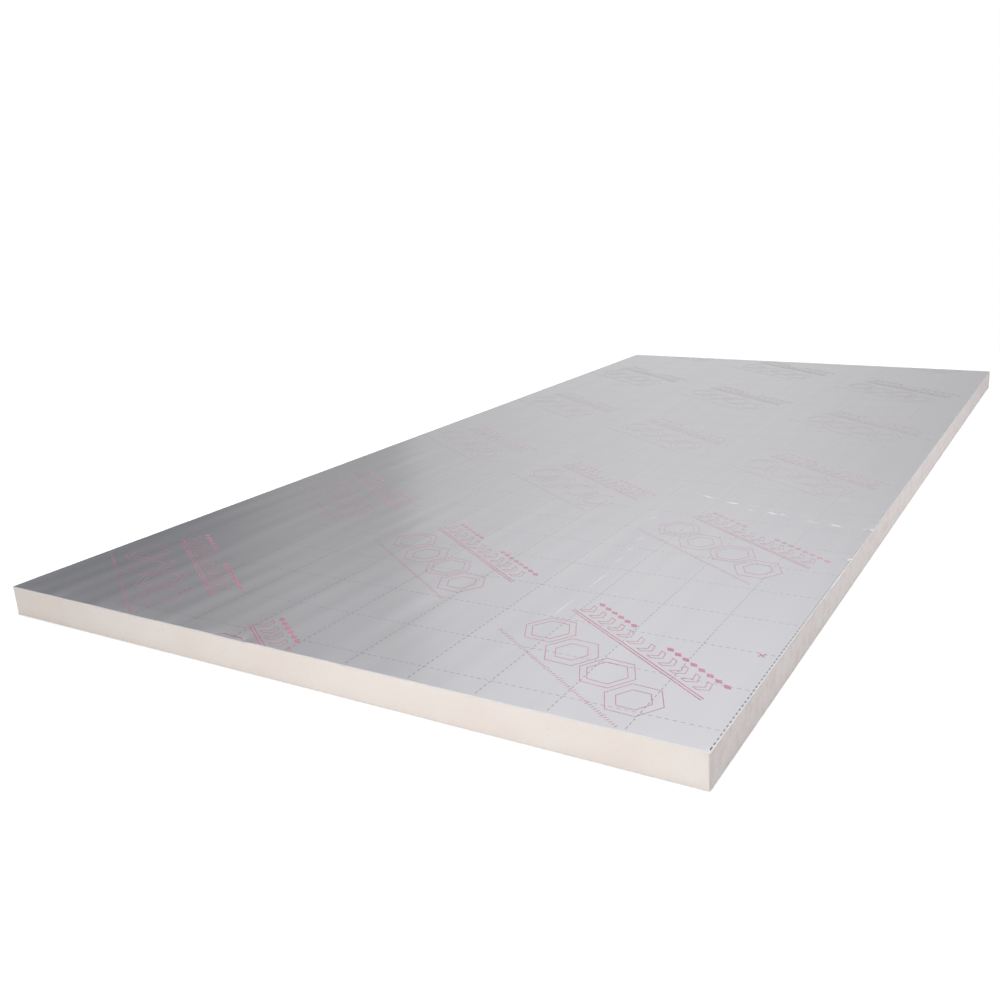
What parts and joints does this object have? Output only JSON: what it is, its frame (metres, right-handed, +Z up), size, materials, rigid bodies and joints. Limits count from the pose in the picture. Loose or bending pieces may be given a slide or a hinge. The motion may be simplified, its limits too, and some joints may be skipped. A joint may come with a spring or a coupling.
{
  "type": "foil-faced polyiso insulation board",
  "caption": "Flat rectangular rigid foam insulation board with a foil laminate facer bonded to each face, square sawn edges and a printed cutting grid on its upper face.",
  "frame": {"origin": "the middle of the underside, on the floor that the board lies on", "axes": "+X across the board's width, +Y along its length away from the camera, +Z up through its thickness"},
  "size_m": [1.2, 2.4, 0.05],
  "materials": {
    "foam": "fine-celled rigid foam, sawn",
    "foil": "satin foil on kraft paper",
    "grid_ink": "thin grey printed ink",
    "print_ink": "thin red printed ink"
  },
  "bodies": {
    "root": {"foam_core": "foam", "top_facer": "foil", "bottom_facer": "foil"}
  },
  "joints": []
}
